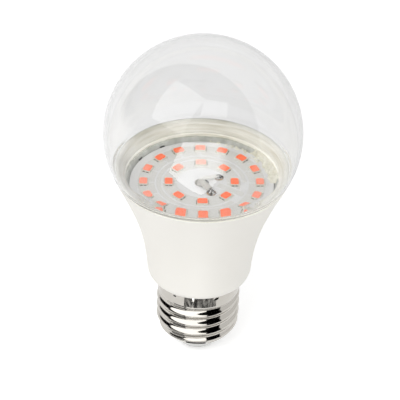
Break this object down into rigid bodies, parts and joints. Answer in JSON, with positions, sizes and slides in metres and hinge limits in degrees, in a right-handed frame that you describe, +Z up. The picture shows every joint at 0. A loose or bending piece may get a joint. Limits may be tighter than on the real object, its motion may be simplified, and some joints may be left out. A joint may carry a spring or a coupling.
{
  "type": "grow light bulb",
  "caption": "Screw-in LED grow lamp: a clear ball globe over a round board of orange-windowed lamps, a flared white housing and a threaded metal cap.",
  "frame": {"origin": "centre of the centre contact's bottom face, on the bulb's axis", "axes": "+Z up the axis from the contact to the crown of the globe; -Y is the side the picture shows"},
  "size_m": [0.06, 0.06, 0.11],
  "materials": {
    "clear_globe": "clear, polished",
    "sealant": "cream silicone, uneven, semi-matt",
    "white_housing": "fine satin moulding",
    "cup_aluminium": "drawn, satin",
    "paste": "matt",
    "board_lacquer": "white solder lacquer",
    "lacquered_track": "white lacquer over copper, slightly grey",
    "led_frame": "white moulded frame",
    "led_window": "orange-pink resin",
    "tinned_lead": "tinned",
    "wire_sleeve": "white sleeve",
    "solder": "bright solder with flux",
    "circuit_board": "green lacquer",
    "capacitor_sleeve": "shrink sleeve",
    "ferrite": "matt ferrite",
    "enamelled_copper": "enamelled wire",
    "capacitor_case": "dipped case",
    "resistor_body": "lacquered",
    "chip_case": "moulded black",
    "nickel_cap": "polished nickel plate",
    "pale_insulator": "pale moulded insulator"
  },
  "bodies": {
    "root": {"adhesive_bead": "sealant", "board_tracks": "lacquered_track", "bridge_leads": "tinned_lead", "bridge_rectifier": "chip_case", "cap_insulator": "pale_insulator", "capacitor_leads": "tinned_lead", "centre_contact": "nickel_cap", "chip_leads": "tinned_lead", "chip_resistors": "chip_case", "choke_core": "ferrite", "choke_winding": "enamelled_copper", "driver_board": "circuit_board", "driver_chip": "chip_case", "electrolytic_capacitor": "capacitor_sleeve", "film_capacitor": "capacitor_case", "fusible_resistor": "resistor_body", "globe": "clear_globe", "heat_sink_cup": "cup_aluminium", "housing": "white_housing", "inner_led_01": "led_frame", "inner_led_02": "led_frame", "inner_led_03": "led_frame", "inner_led_04": "led_frame", "inner_led_05": "led_frame", "inner_led_06": "led_frame", "inner_led_07": "led_frame", "inner_led_08": "led_frame", "inner_led_phosphors": "led_window", "inner_led_terminals": "tinned_lead", "led_board": "board_lacquer", "live_lead": "wire_sleeve", "negative_solder": "solder", "negative_wire": "wire_sleeve", "neutral_lead": "wire_sleeve", "outer_led_01": "led_frame", "outer_led_02": "led_frame", "outer_led_03": "led_frame", "outer_led_04": "led_frame", "outer_led_05": "led_frame", "outer_led_06": "led_frame", "outer_led_07": "led_frame", "outer_led_08": "led_frame", "outer_led_09": "led_frame", "outer_led_10": "led_frame", "outer_led_11": "led_frame", "outer_led_12": "led_frame", "outer_led_13": "led_frame", "outer_led_14": "led_frame", "outer_led_15": "led_frame", "outer_led_16": "led_frame", "outer_led_phosphors": "led_window", "outer_led_terminals": "tinned_lead", "positive_solder": "solder", "positive_wire": "wire_sleeve", "screw_shell": "nickel_cap", "thermal_paste": "paste"}
  },
  "joints": []
}
